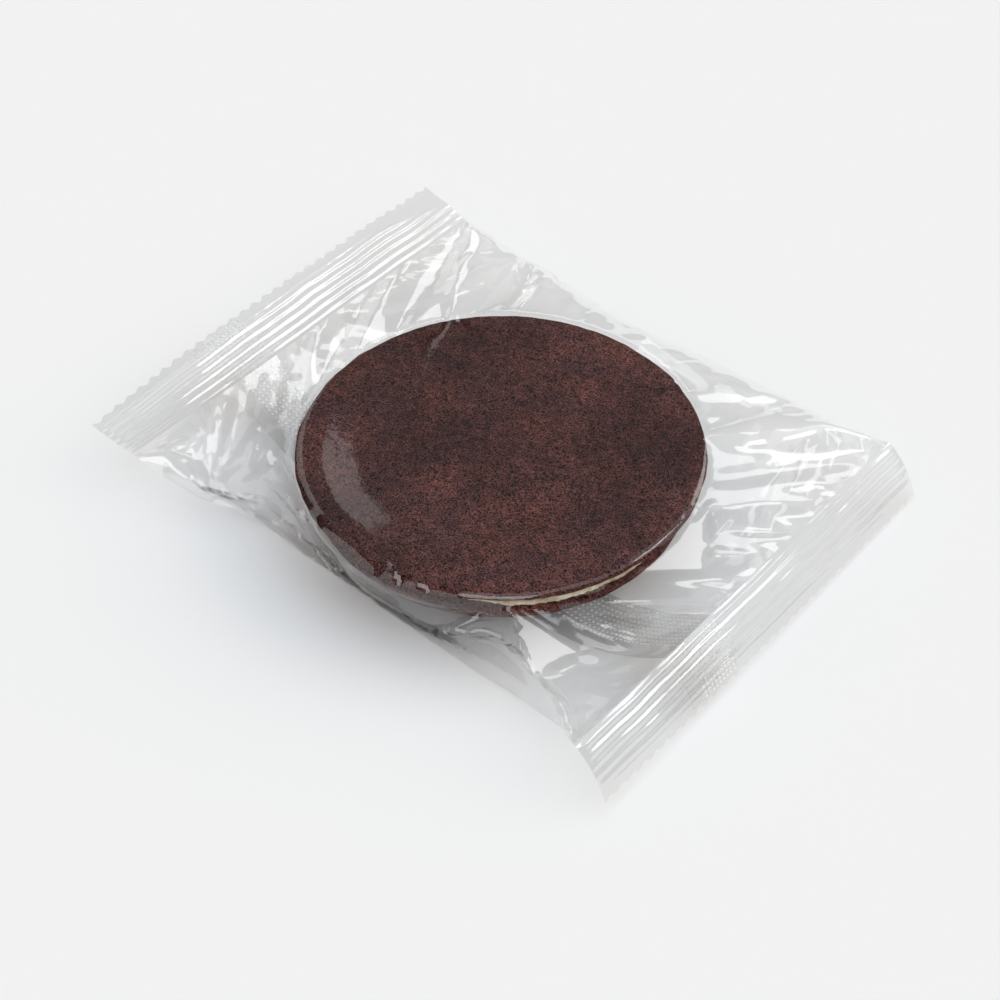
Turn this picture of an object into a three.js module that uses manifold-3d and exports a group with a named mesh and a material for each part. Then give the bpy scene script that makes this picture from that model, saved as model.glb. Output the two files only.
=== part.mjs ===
// A round two-layer chocolate cookie, sealed in a pillow pack of clear flow-wrap film.
//
// The pack is a tube of film round the cookie. A jaw crimps each end flat into a ribbed seal with
// a zigzag cut edge, and the tube's own joint is a flat fin folded against the underside. The pack
// is shut, so it is one closed solid out to the film: a body drawn straight from the cookie's rim
// to the seals and side edges, with the two end seals and the fin joined on.
//
// Millimetres, +Z up. +X runs from the raised end seal to the drooping one, and -Y is the side
// that the cookie has slid towards. The origin is the middle of the pack's footprint, on the table.

import * as THREE from "three";
import { mergeVertices } from "three/addons/utils/BufferGeometryUtils.js";
import Module from "manifold-3d";

// ---- Driving dimensions -------------------------------------------------------------------------

const COOKIE_RADIUS = 37.5;
const COOKIE_CENTRE = new THREE.Vector2(4.7, -6);
const RIM_HEIGHT = 16.4; // top edge of the upper biscuit above the table
const RIM_TILT = new THREE.Vector2(0.02, -0.015); // how much that edge climbs towards +X and +Y
const DOME_HEIGHT = 1.5; // crown of the upper biscuit above its edge
const BASE_RADIUS = 28; // the round patch of film that the cookie presses flat

const TUBE_WIDTH = 93.2; // the film tube laid flat
const SEAL_WIDTH = 12;
const SEAL_THICKNESS = 0.6;
const SEAL_BURIED = 0.8; // how far the seal starts inside the body
const RIB_COUNT = 5;
const RIB_PITCH = 1.8;
const RIB_HEIGHT = 0.35;
const TEETH = 31; // zigzag points along each cut edge
const TOOTH_DEPTH = 0.9;

// Where each end seal leaves the body, and how steeply it runs on from there to its cut edge.
// near and far are its ends at -Y and +Y. Angles are in degrees above the table.
const RAISED_SEAL = {
  side: -1,
  x: -49.9,
  near: { height: 9.4, leaves: 2, ends: 10 },
  far: { height: 8.4, leaves: 22, ends: 36 },
};
const DROOPING_SEAL = {
  side: 1,
  x: 54.7,
  near: { height: 11.8, leaves: -84, ends: -58 },
  far: { height: 9.9, leaves: -68, ends: -38 },
};

// The side edges are drawn in between the seals: the near one down to the table, the far one less.
const NEAR_WAIST = { drawnIn: 8, height: 0.7, squareness: 3 };
const FAR_WAIST = { drawnIn: 1.5, height: 7.2, squareness: 2 };

const FIN = { near: -21, far: -7, thickness: 0.3, buried: 0.6 };

// Folds run out from the rim: how many cross each side of the pack, and how high they stand.
const SEAL_FOLDS = { count: 5, height: 0.9 };
const EDGE_FOLDS = { count: 4, height: 0.5 };

// How finely the surfaces are divided.
const SPOKES_PER_SIDE = 20;
const DOME_RINGS = [0.3, 0.6, 0.85, 0.96];
const TENT_STEPS = 5;
const UNDERSIDE_STEPS = 3;
const FIN_STEPS = 18;

// ---- Small helpers ------------------------------------------------------------------------------

const lerp = THREE.MathUtils.lerp;
const point = (x, y, z) => new THREE.Vector3(x, y, z);

// A BufferGeometry from a list of points and a list of triangles, each three point numbers.
function geometryOf(points, triangles) {
  const geometry = new THREE.BufferGeometry().setFromPoints(points);
  geometry.setIndex(triangles);
  return geometry;
}

// A closed slab round a curved sheet. sheet(i, j) gives a point of its middle surface and the
// normal there, for i from 0 to rows and j from 0 to columns; above and below are its two depths.
function slabOf(sheet, rows, columns, above, below) {
  const points = [];
  for (const depth of [above, -below]) {
    for (let i = 0; i <= rows; i++) {
      for (let j = 0; j <= columns; j++) {
        const { at, normal } = sheet(i, j);
        points.push(at.clone().addScaledVector(normal, depth));
      }
    }
  }
  const sheetSize = (rows + 1) * (columns + 1);
  const index = (face, i, j) => face * sheetSize + i * (columns + 1) + j;
  const triangles = [];
  const quad = (a, b, c, d) => triangles.push(a, b, c, a, c, d);
  for (let i = 0; i < rows; i++) {
    for (let j = 0; j < columns; j++) {
      quad(index(0, i, j), index(0, i + 1, j), index(0, i + 1, j + 1), index(0, i, j + 1));
      quad(index(1, i, j), index(1, i, j + 1), index(1, i + 1, j + 1), index(1, i + 1, j));
    }
    quad(index(0, i, 0), index(1, i, 0), index(1, i + 1, 0), index(0, i + 1, 0));
    quad(index(0, i, columns), index(0, i + 1, columns), index(1, i + 1, columns), index(1, i, columns));
  }
  for (let j = 0; j < columns; j++) {
    quad(index(0, 0, j), index(0, 0, j + 1), index(1, 0, j + 1), index(1, 0, j));
    quad(index(0, rows, j), index(1, rows, j), index(1, rows, j + 1), index(0, rows, j + 1));
  }
  return geometryOf(points, triangles);
}

// ---- Outline of the body ------------------------------------------------------------------------

// The line where a seal meets the body, from its near end at 0 to its far end at 1.
function sealLine(seal, along) {
  return point(
    seal.x,
    lerp(-TUBE_WIDTH / 2, TUBE_WIDTH / 2, along),
    lerp(seal.near.height, seal.far.height, along),
  );
}

// A side edge of the body, from the raised seal at 0 to the drooping one at 1.
function sideEdge(side, waist, along) {
  const end = side < 0 ? "near" : "far";
  const drawn = 1 - Math.abs(2 * along - 1) ** waist.squareness;
  const straight = lerp(RAISED_SEAL[end].height, DROOPING_SEAL[end].height, along);
  return point(
    lerp(RAISED_SEAL.x, DROOPING_SEAL.x, along),
    side * (TUBE_WIDTH / 2 - waist.drawnIn * drawn),
    lerp(straight, waist.height, drawn),
  );
}

// Every outline point, anticlockwise from above, with the height of the fold that reaches it.
function bodyOutline() {
  const sides = [
    { at: (t) => sideEdge(-1, NEAR_WAIST, t), folds: EDGE_FOLDS },
    { at: (t) => sealLine(DROOPING_SEAL, t), folds: SEAL_FOLDS },
    { at: (t) => sideEdge(1, FAR_WAIST, 1 - t), folds: EDGE_FOLDS },
    { at: (t) => sealLine(RAISED_SEAL, 1 - t), folds: SEAL_FOLDS },
  ];
  const outline = [];
  for (const { at, folds } of sides) {
    for (let k = 0; k < SPOKES_PER_SIDE; k++) {
      const t = k / SPOKES_PER_SIDE;
      const fold = folds.height * Math.sin(2 * Math.PI * folds.count * t) * Math.sin(Math.PI * t);
      outline.push({ at: at(t), fold });
    }
  }
  return outline;
}

// ---- Body ---------------------------------------------------------------------------------------

// A point at a share of the cookie's radius, in the direction of an outline point.
function cookiePoint(towards, radius, height) {
  const direction = new THREE.Vector2(towards.x, towards.y).sub(COOKIE_CENTRE).normalize();
  const place = direction.multiplyScalar(radius);
  const tilt = place.dot(RIM_TILT);
  return point(COOKIE_CENTRE.x + place.x, COOKIE_CENTRE.y + place.y, height(radius, tilt));
}

const topOfCookie = (radius, tilt) =>
  RIM_HEIGHT + tilt + DOME_HEIGHT * (1 - (radius / COOKIE_RADIUS) ** 4);
const tableUnderCookie = () => FIN.thickness;

// The film from the crown of the cookie, over its rim, out to the outline and back underneath.
function spokeOf({ at, fold }) {
  const rim = cookiePoint(at, COOKIE_RADIUS, topOfCookie);
  const base = cookiePoint(at, BASE_RADIUS, tableUnderCookie);
  const spoke = DOME_RINGS.map((share) => cookiePoint(at, share * COOKIE_RADIUS, topOfCookie));
  spoke.push(rim);
  for (let step = 1; step <= TENT_STEPS; step++) {
    const out = step / TENT_STEPS;
    const lifted = rim.clone().lerp(at, out);
    lifted.z += fold * Math.sin(Math.PI * out);
    spoke.push(lifted);
  }
  for (let step = 1; step <= UNDERSIDE_STEPS; step++) {
    spoke.push(at.clone().lerp(base, step / UNDERSIDE_STEPS));
  }
  return spoke;
}

function bodyGeometry() {
  const spokes = bodyOutline().map(spokeOf);
  const rings = spokes[0].length;
  const crown = point(COOKIE_CENTRE.x, COOKIE_CENTRE.y, topOfCookie(0, 0));
  const foot = point(COOKIE_CENTRE.x, COOKIE_CENTRE.y, tableUnderCookie());
  const points = [crown, ...spokes.flat(), foot];
  const index = (spoke, ring) => 1 + (spoke % spokes.length) * rings + ring;
  const triangles = [];
  for (let s = 0; s < spokes.length; s++) {
    triangles.push(0, index(s, 0), index(s + 1, 0));
    for (let r = 0; r < rings - 1; r++) {
      triangles.push(index(s, r), index(s, r + 1), index(s + 1, r + 1));
      triangles.push(index(s, r), index(s + 1, r + 1), index(s + 1, r));
    }
    triangles.push(index(s, rings - 1), points.length - 1, index(s + 1, rings - 1));
  }
  return geometryOf(points, triangles);
}

// ---- End seals ----------------------------------------------------------------------------------

// Distances from the body at which a seal's rows lie: each rib's foot and crest, then the cut edge.
function sealRows() {
  const rows = [{ out: -SEAL_BURIED, rib: 0 }];
  for (let half = 1; half <= 2 * RIB_COUNT; half++) {
    rows.push({ out: (half * RIB_PITCH) / 2, rib: half % 2 ? RIB_HEIGHT : 0 });
  }
  rows.push({ out: SEAL_WIDTH, rib: 0 });
  return rows;
}

// A seal bends evenly from the angle at which it leaves the body to the angle at its cut edge.
function sealGeometry(seal) {
  const rows = sealRows();
  const columns = 2 * TEETH;
  const sheet = (i, j) => {
    const along = j / columns;
    const start = sealLine(seal, along);
    const leaves = THREE.MathUtils.degToRad(lerp(seal.near.leaves, seal.far.leaves, along));
    const ends = THREE.MathUtils.degToRad(lerp(seal.near.ends, seal.far.ends, along));
    const isCutEdge = i === rows.length - 1;
    const notch = isCutEdge && j % 2 === 0 ? TOOTH_DEPTH : 0;
    const out = rows[i].out - notch;
    const angle = lerp(leaves, ends, Math.max(out, 0) / SEAL_WIDTH);
    const middle = (leaves + angle) / 2;
    const normal = point(-seal.side * Math.sin(angle), 0, Math.cos(angle));
    const at = point(seal.side * Math.cos(middle), 0, Math.sin(middle)).multiplyScalar(out);
    at.add(start).addScaledVector(normal, rows[i].rib);
    return { at, normal };
  };
  const half = SEAL_THICKNESS / 2;
  // Rows run away from the body, so on the -X side the sheet is walked from its other end.
  const walked = seal.side > 0 ? sheet : (i, j) => sheet(i, columns - j);
  return slabOf(walked, rows.length - 1, columns, half, half);
}

// ---- Fin ----------------------------------------------------------------------------------------

// Height of the underside at a place along the pack, close to its middle line.
function undersideHeight(x, across) {
  const seal = x < COOKIE_CENTRE.x ? RAISED_SEAL : DROOPING_SEAL;
  const along = across / TUBE_WIDTH + 0.5;
  const end = sealLine(seal, along).z;
  const flatEnd = COOKIE_CENTRE.x + seal.side * BASE_RADIUS;
  const climbed = THREE.MathUtils.clamp((x - flatEnd) / (seal.x - flatEnd), 0, 1);
  return lerp(FIN.thickness, end, climbed);
}

function finGeometry() {
  const columns = 2;
  const sheet = (i, j) => {
    const x = lerp(RAISED_SEAL.x, DROOPING_SEAL.x, i / FIN_STEPS);
    const y = lerp(FIN.near, FIN.far, j / columns);
    return { at: point(x, y, undersideHeight(x, y)), normal: point(0, 0, 1) };
  };
  return slabOf(sheet, FIN_STEPS, columns, FIN.buried, FIN.thickness);
}

// ---- The pack, as one solid ---------------------------------------------------------------------

const wasm = await Module();
wasm.setup();

function solidOf(geometry) {
  geometry.deleteAttribute("normal");
  geometry.deleteAttribute("uv");
  const merged = mergeVertices(geometry, 1e-4);
  const vertProperties = new Float32Array(merged.attributes.position.array);
  const triVerts = new Uint32Array(merged.index.array);
  return new wasm.Manifold(new wasm.Mesh({ numProp: 3, vertProperties, triVerts }));
}

function geometryOfSolid(solid) {
  const mesh = solid.getMesh();
  const geometry = new THREE.BufferGeometry();
  geometry.setAttribute("position", new THREE.BufferAttribute(mesh.vertProperties, 3));
  geometry.setIndex(new THREE.BufferAttribute(mesh.triVerts, 1));
  geometry.computeVertexNormals();
  return geometry;
}

const packSolid = solidOf(bodyGeometry())
  .add(solidOf(sealGeometry(RAISED_SEAL)))
  .add(solidOf(sealGeometry(DROOPING_SEAL)))
  .add(solidOf(finGeometry()));

const film = new THREE.MeshStandardMaterial({ color: 0xe6e8e9, roughness: 0.12, metalness: 0 });
const pack = new THREE.Mesh(geometryOfSolid(packSolid), film);
pack.name = "sealed_pack";

const model = new THREE.Group();
model.add(pack);

export default model;
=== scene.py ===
"""A round two-layer chocolate cookie in a sealed pillow pack of clear film.

The cookie is two baked biscuits with a thin cream filling. The pack is a tube of film round it,
crimped into a ribbed seal at each end and joined along a knurled fin on the underside.
Sizes are in millimetres until a mesh is made, and +X runs from the raised seal to the drooping one.
"""

import math

import bpy
import numpy as np
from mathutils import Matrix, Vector, noise


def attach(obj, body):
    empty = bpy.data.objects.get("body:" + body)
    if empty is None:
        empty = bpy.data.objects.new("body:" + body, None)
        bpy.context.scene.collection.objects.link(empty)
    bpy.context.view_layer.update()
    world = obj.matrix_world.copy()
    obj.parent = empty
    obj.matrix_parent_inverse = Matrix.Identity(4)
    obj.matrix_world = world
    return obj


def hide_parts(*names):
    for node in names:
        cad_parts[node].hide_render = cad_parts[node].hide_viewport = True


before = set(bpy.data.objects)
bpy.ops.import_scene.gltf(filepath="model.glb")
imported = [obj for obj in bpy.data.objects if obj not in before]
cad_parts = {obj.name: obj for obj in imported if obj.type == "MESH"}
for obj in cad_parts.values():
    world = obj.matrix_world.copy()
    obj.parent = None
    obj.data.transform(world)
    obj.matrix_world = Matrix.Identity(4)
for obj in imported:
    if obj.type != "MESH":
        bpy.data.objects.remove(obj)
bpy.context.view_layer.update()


# ---- Lower biscuit ------------------------------------------------------------------------------
# The biscuit that the cookie lies on: baked chocolate dough, flat where it meets the filling and
# rounded underneath. It is turned from its profile and then roughened as the dough bakes.

MM = 0.001
COOKIE_X, COOKIE_Y = 4.7, -6.0  # where the cookie lies in the pack
COOKIE_R = 37.5
RIM_SHARE = 0.2  # of the radius, where the rim's ragged edge fades in
PIT_WIDTHS, PIT_DEPTHS = (0.35, 0.85), (0.08, 0.3)


def piece_from(name, points, faces, smooth=True):
    """A mesh object from points in millimetres and lists of point numbers."""
    mesh = bpy.data.meshes.new(name)
    mesh.from_pydata((np.asarray(points) * MM).tolist(), [], faces)
    mesh.update()
    if smooth:
        mesh.polygons.foreach_set("use_smooth", [True] * len(mesh.polygons))
    piece = bpy.data.objects.new(name, mesh)
    bpy.context.collection.objects.link(piece)
    return piece


def fine_profile(corners, step):
    """Points about one step apart along a line through the corners, each a radius and a height."""
    corners = np.array(corners, float)
    lengths = np.hypot(*np.diff(corners, axis=0).T)
    reached = np.concatenate([[0], np.cumsum(lengths)])
    wanted = np.linspace(0, reached[-1], max(2, round(reached[-1] / step)))
    return np.stack([np.interp(wanted, reached, corners[:, k]) for k in (0, 1)], axis=1)


def softened(profile, rounds):
    """The profile with its corners rounded off. Its two ends stay on the axis."""
    profile = profile.copy()
    for _ in range(rounds):
        profile[1:-1] = (profile[:-2] + 2 * profile[1:-1] + profile[2:]) / 4
    return profile


def turned(profile, count):
    """Points and faces of a profile turned about the axis, from its foot to its crown."""
    angles = np.linspace(0, 2 * math.pi, count, endpoint=False)
    rings = profile[1:-1]
    x = rings[:, :1] * np.cos(angles)
    y = rings[:, :1] * np.sin(angles)
    z = np.repeat(rings[:, 1:], count, axis=1)
    points = np.stack([x, y, z], axis=-1).reshape(-1, 3)
    points = np.vstack([points, [[0, 0, profile[0, 1]], [0, 0, profile[-1, 1]]]])
    foot, crown = len(points) - 2, len(points) - 1
    faces = []
    for ring in range(len(rings) - 1):
        for k in range(count):
            low, high = ring * count, (ring + 1) * count
            following = (k + 1) % count
            faces.append((low + k, low + following, high + following, high + k))
    last = (len(rings) - 1) * count
    for k in range(count):
        following = (k + 1) % count
        faces.append((foot, following, k))
        faces.append((crown, last + k, last + following))
    return points, faces


def dough_noise(points, size, seed):
    """A smooth random height between about -1 and 1 at each point, with lumps of the given size."""
    shift = Vector((seed * 17.3, seed * 5.1, seed * 9.7))
    return np.array([noise.noise(Vector(p) / size + shift) for p in points.tolist()])


def baked(points, seed, pits):
    """Turned dough after baking: an uneven rim, soft lumps, a grainy skin and small open pits."""
    reach = np.hypot(points[:, 0], points[:, 1])
    outward = points[:, :2] / np.maximum(reach, 1e-6)[:, None]
    near_rim = np.clip((reach - (1 - RIM_SHARE) * COOKIE_R) / (RIM_SHARE * COOKIE_R), 0, 1)
    ragged = 0.32 * dough_noise(points, 9.0, seed) + 0.16 * dough_noise(points, 2.6, seed + 1)
    lumps = 0.22 * dough_noise(points, 13.0, seed + 2) + 0.10 * dough_noise(points, 3.4, seed + 3)
    grain = 0.055 * dough_noise(points, 1.1, seed + 4)
    side = np.where(points[:, 2] > points[:, 2].mean(), 1.0, -1.0)
    heights = (lumps + grain) * side
    rng = np.random.default_rng(seed)
    for _ in range(pits):
        where = rng.uniform(-COOKIE_R, COOKIE_R, 2)
        width, depth = rng.uniform(*PIT_WIDTHS), rng.uniform(*PIT_DEPTHS)
        away = np.hypot(points[:, 0] - where[0], points[:, 1] - where[1])
        heights -= side * depth * np.exp(-((away / width) ** 2))
    moved = points.copy()
    moved[:, :2] += outward * (near_rim * ragged)[:, None]
    moved[:, 2] += heights * (1 - 0.6 * near_rim)
    return moved


def joined(tree, value, socket):
    """Sets a node's socket to a number, or links another node's output to it."""
    if isinstance(value, (int, float)):
        socket.default_value = value
    else:
        tree.links.new(value, socket)


def maths(tree, operation, *values):
    """A sum of numbers and outputs, in any kind of tree."""
    node = tree.nodes.new("ShaderNodeMath")
    node.operation = operation
    for value, socket in zip(values, node.inputs):
        joined(tree, value, socket)
    return node.outputs[0]


def new_material(name):
    """A material, with its tree and its surface's sockets."""
    material = bpy.data.materials.new(name)
    material.use_nodes = True
    return material, material.node_tree, material.node_tree.nodes["Principled BSDF"].inputs


def own_place(tree):
    """Where each point of the surface is."""
    return tree.nodes.new("ShaderNodeTexCoord").outputs["Object"]


def pattern(tree, kind, place, scale, detail):
    """A noise or cell texture at the places given."""
    texture = tree.nodes.new(kind)
    texture.inputs["Detail"].default_value = detail
    joined(tree, scale, texture.inputs["Scale"])
    joined(tree, place, texture.inputs["Vector"])
    return texture


def shades(tree, value, stops):
    """Colours for a value from 0 to 1, from pairs of a value and a colour."""
    node = tree.nodes.new("ShaderNodeValToRGB")
    while len(node.color_ramp.elements) < len(stops):
        node.color_ramp.elements.new(0.5)
    for element, (position, colour) in zip(node.color_ramp.elements, stops):
        element.position = position
        element.color = (*colour, 1.0)
    joined(tree, value, node.inputs["Fac"])
    return node.outputs["Color"]


def darkened(tree, colour, by):
    """One colour multiplied by another."""
    node = tree.nodes.new("ShaderNodeMix")
    node.data_type = "RGBA"
    node.blend_type = "MULTIPLY"
    node.inputs["Factor"].default_value = 1.0
    joined(tree, colour, node.inputs["A"])
    joined(tree, by, node.inputs["B"])
    return node.outputs["Result"]


def relief(tree, height, strength, depth):
    """A normal that follows fine heights, up to so many millimetres deep."""
    bump = tree.nodes.new("ShaderNodeBump")
    bump.inputs["Strength"].default_value = strength
    bump.inputs["Distance"].default_value = depth * MM
    joined(tree, height, bump.inputs["Height"])
    return bump.outputs["Normal"]


# Scales are in patches to the metre, and each colour or shade goes with a texture's value.
DOUGH_SCALE = 150.0
DOUGH_COLOURS = [(0.34, (0.0615, 0.0257, 0.0263)), (0.52, (0.0755, 0.0300, 0.0278)),
                 (0.72, (0.0920, 0.0340, 0.0283))]
# Patches, crumbs and grains: scale, detail, and how far each darkens and lightens the dough.
CRUMB = [(45.0, 2.0, 0.70, 1.32), (650.0, 3.0, 0.70, 1.30), (3500.0, 1.0, 0.16, 1.95)]
# Pores and holes: scale, and colours that darken the dough there as painted shade inside them.
PORE_SCALE, PORE_PAINTED_SHADE = 1050.0, [(0.14, (0.20, 0.18, 0.19)), (0.34, (1.0, 1.0, 1.0))]
HOLE_SCALE, HOLE_PAINTED_SHADE = 300.0, [(0.07, (0.14, 0.12, 0.13)), (0.14, (1.0, 1.0, 1.0))]
TORN_SCALE, TORN = 1500.0, 0.7  # how finely and how far the pores' edges wander


def chocolate_dough():
    """Baked cocoa dough: matt dark brown, mottled with redder and darker crumb, full of pores and
    holes whose dark colour is painted shade.
    """
    material, tree, surface = new_material("chocolate_dough")
    surface["Roughness"].default_value = 0.9
    surface["Specular IOR Level"].default_value = 0.1
    place = own_place(tree)

    mottled = pattern(tree, "ShaderNodeTexNoise", place, DOUGH_SCALE, 3.0).outputs["Fac"]
    coloured = shades(tree, mottled, DOUGH_COLOURS)
    for scale, detail, low, high in CRUMB:
        grains = pattern(tree, "ShaderNodeTexNoise", place, scale, detail).outputs["Fac"]
        grey = [(0.34, (low, low, low)), (0.66, (high, high * 0.99, high * 0.98))]
        coloured = darkened(tree, coloured, shades(tree, grains, grey))

    torn = tree.nodes.new("ShaderNodeVectorMath")
    torn.operation = "MULTIPLY_ADD"
    torn.inputs[1].default_value = (TORN * MM, TORN * MM, TORN * MM)
    tearing = pattern(tree, "ShaderNodeTexNoise", place, TORN_SCALE, 2.0)
    joined(tree, tearing.outputs["Color"], torn.inputs[0])
    joined(tree, place, torn.inputs[2])
    cells = []
    # The pores and holes are darkened as painted shade, and the pores also dent the surface.
    for scale, painted_shade in ((PORE_SCALE, PORE_PAINTED_SHADE), (HOLE_SCALE, HOLE_PAINTED_SHADE)):
        cell = pattern(tree, "ShaderNodeTexVoronoi", torn.outputs[0], scale, 0.0)
        cells.append(cell.outputs["Distance"])
        coloured = darkened(tree, coloured, shades(tree, cells[-1], painted_shade))
    joined(tree, coloured, surface["Base Color"])
    rough = maths(tree, "MULTIPLY_ADD", grains, 0.8, cells[0])
    joined(tree, relief(tree, rough, 0.8, 0.3), surface["Normal"])
    return material


dough = chocolate_dough()

LOWER_PROFILE = [(0, 0.7), (22, 0.7), (26.5, 1.5), (30.2, 3.4), (33.2, 6.2), (35.2, 8.5),
                 (35.6, 9.6), (34.9, 10.6), (33.4, 11.4), (31.4, 12.1), (29.0, 12.5), (0, 12.5)]
LOWER_SHIFT = (-0.9, 1.0)  # the two biscuits aren't quite in line

profile = softened(fine_profile(LOWER_PROFILE, step=0.8), rounds=3)
points, faces = turned(profile, count=300)
points = baked(points, seed=41, pits=60)
points += (COOKIE_X + LOWER_SHIFT[0], COOKIE_Y + LOWER_SHIFT[1], 0)
lower_biscuit = piece_from("lower_biscuit", points, faces)
lower_biscuit.data.materials.append(dough)
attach(lower_biscuit, "root")
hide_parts("sealed_pack")


# ---- Upper biscuit ------------------------------------------------------------------------------
# The biscuit on top, with a slightly crowned face, an uneven rim that is cut in underneath, and a
# short crack in the rim. It sits a little tilted on the filling.

UPPER_UNDERSIDE = [(0, 13.6), (33.5, 13.6)]
UPPER_FACE = [(33.5, 13.6), (35.7, 13.75), (36.7, 14.8), (37.4, 15.6), (37.35, 16.1),
              (36.4, 16.55), (34, 16.85), (26, 17.2), (14, 17.5), (0, 17.6)]
TILT_X, TILT_Y = 0.02, -0.015
CRACK_AT = math.radians(67)
CRACK_FROM, CRACK_WIDTH, CRACK_DEPTH = 29.5, 0.4, 1.3
CRACK_LOWEST = 15.2
FLAT_SIDE, FLATNESS = math.radians(-47), 0.017  # where it is a little out of round


def tilt(x, y):
    """How much higher the upper biscuit is at a place than on its axis."""
    return TILT_X * x + TILT_Y * y


profile = np.vstack([fine_profile(UPPER_UNDERSIDE, step=2.0),
                     fine_profile(UPPER_FACE, step=0.42)[1:]])
points, faces = turned(softened(profile, rounds=3), count=560)
points = baked(points, seed=7, pits=420)
reach = np.hypot(points[:, 0], points[:, 1])
angle = np.arctan2(points[:, 1], points[:, 0])
points[:, :2] *= 1 - FLATNESS * np.exp(-(((angle - FLAT_SIDE) / 0.5) ** 2))[:, None]
wander = 0.035 * np.sin(reach * 1.7) + 0.02 * np.sin(reach * 4.1)
from_crack = reach * np.sin(angle - CRACK_AT - wander)
opened = np.clip((reach - CRACK_FROM) / 4, 0, 1) * (np.cos(angle - CRACK_AT) > 0)
opened *= np.exp(-((from_crack / CRACK_WIDTH) ** 2))
points[:, 2] -= CRACK_DEPTH * opened * (points[:, 2] > CRACK_LOWEST)
points[:, 2] += tilt(points[:, 0], points[:, 1])
points += (COOKIE_X, COOKIE_Y, 0)
upper_biscuit = piece_from("upper_biscuit", points, faces)
upper_biscuit.data.materials.append(dough)
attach(upper_biscuit, "root")
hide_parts("sealed_pack")


# ---- Cream filling ------------------------------------------------------------------------------
# A thin layer of pale cream, pressed out to the biscuits' edge on one side and short of it on the
# other. It is turned, then its edge is made uneven.

CREAM_UNDERSIDE = [(0, 12.3), (32.0, 12.3)]
CREAM_EDGE = [(32.0, 12.3), (34.8, 12.55), (35.5, 13.0), (35.5, 13.7), (34.6, 14.0), (33.4, 14.0)]
CREAM_FACE = [(33.4, 14.0), (0, 14.0)]
SQUEEZED_AT = math.radians(-24)  # the side where it comes out to the edge
SHORT_BY = 1.4  # elsewhere
CREAM_SCALE = 420.0
CREAM_COLOURS = [(0.35, (0.40, 0.31, 0.19)), (0.62, (0.72, 0.64, 0.47))]


def cream():
    """Soft pale cream, matt, with faint lumps."""
    material, tree, surface = new_material("cream")
    surface["Roughness"].default_value = 0.6
    surface["Subsurface Weight"].default_value = 0.1
    surface["Subsurface Radius"].default_value = (2.0 * MM, 1.4 * MM, 0.8 * MM)
    lumps = pattern(tree, "ShaderNodeTexNoise", own_place(tree), CREAM_SCALE, 4.0).outputs["Fac"]
    joined(tree, shades(tree, lumps, CREAM_COLOURS), surface["Base Color"])
    joined(tree, relief(tree, lumps, 0.4, 0.3), surface["Normal"])
    return material


profile = np.vstack([fine_profile(CREAM_UNDERSIDE, step=3.0),
                     fine_profile(CREAM_EDGE, step=0.16)[1:-1],
                     fine_profile(CREAM_FACE, step=3.0)])
points, faces = turned(softened(profile, rounds=2), count=800)
reach = np.hypot(points[:, 0], points[:, 1])
edge = np.clip((reach - 30) / 5, 0, 1)
uneven = 0.4 * dough_noise(points, 5.0, 60) + 0.3 * dough_noise(points, 1.3, 61)
uneven += 0.2 * dough_noise(points, 0.6, 64)
squeezed = np.exp(-(((np.arctan2(points[:, 1], points[:, 0]) - SQUEEZED_AT) / 0.52) ** 4))
points[:, :2] *= 1 + (edge * (uneven - SHORT_BY * (1 - squeezed)) / COOKIE_R)[:, None]
points[:, 2] += edge * (0.22 * dough_noise(points, 3.3, 62) + 0.2 * dough_noise(points, 0.8, 63))
upper_part = np.clip((points[:, 2] - 12.4) / 1.2, 0, 1)
points[:, 2] += upper_part * tilt(points[:, 0], points[:, 1])
points += (COOKIE_X, COOKIE_Y, 0)
cream_filling = piece_from("cream_filling", points, faces)
cream_filling.data.materials.append(cream())
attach(cream_filling, "root")
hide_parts("sealed_pack")


# ---- Film tube ----------------------------------------------------------------------------------
# One sheet of thin clear film, formed into a tube round the cookie. It hardly stretches, so where
# the tube is pinched flat at its ends it falls into flat panels and sharp folds. Here it settles
# over the cookie and the table as a net of threads of fixed length, coarse first and then finer.

TUBE_WIDTH = 93.1  # laid flat, at the seals
TUBE_FULL_WIDTH = 96.4  # round the cookie, where the seals no longer gather it
TUBE_LENGTH = 109.8  # from seal to seal along the film
RAISED_SEAL = {"x": -49.9, "near": 9.4, "far": 8.4}
DROOPING_SEAL = {"x": 54.7, "near": 11.8, "far": 9.9}
NEAR_SIDE = [(-49.9, -46.6), (-36, -43.3), (-25, -37.8), (-17, -38.3), (31.6, -38.7), (37.5, -39.2),
             (44, -41.5), (54.7, -46.6)]
FAR_SIDE = [(-49.9, 46.6), (-40, 46.6), (-25, 46.2), (-12, 44.6), (0, 44.4), (8, 45.3), (17, 46.3),
            (54.7, 46.6)]
FAR_SIDE_HEIGHT = [(-49.9, 8.4), (-5, 7.2), (45, 8.0), (54.7, 9.9)]
NEAR_RIM = (-17, 31.6)  # between these the cookie's rim holds the near side out
CREASED_BELOW = 6
WEDGE = 1.1  # how steeply the two layers part from the far side's crease
SAG = 0.005  # under its own weight, at each step
SPEED_KEPT = 0.9  # from one step to the next
TOP_SPEED = 0.6  # in threads' lengths for each step
DIAGONAL_PULL = 0.8  # film shears a little more easily than it stretches
CRUMPLE = 0.008  # how unequal the threads' lengths are
LAYER_GAP = 0.12
LOWEST, HIGHEST = 0.16, 18.2
WRAP_R, WRAP_TOP = 38.2, 18.4  # the film is clear of the cookie beyond these
LOOSE_GAP, LOOSE_LOWEST = 0.4, 0.25  # before it settles
RIM_SLACK = 0.42  # the film stands off the uneven rim by this much


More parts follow.
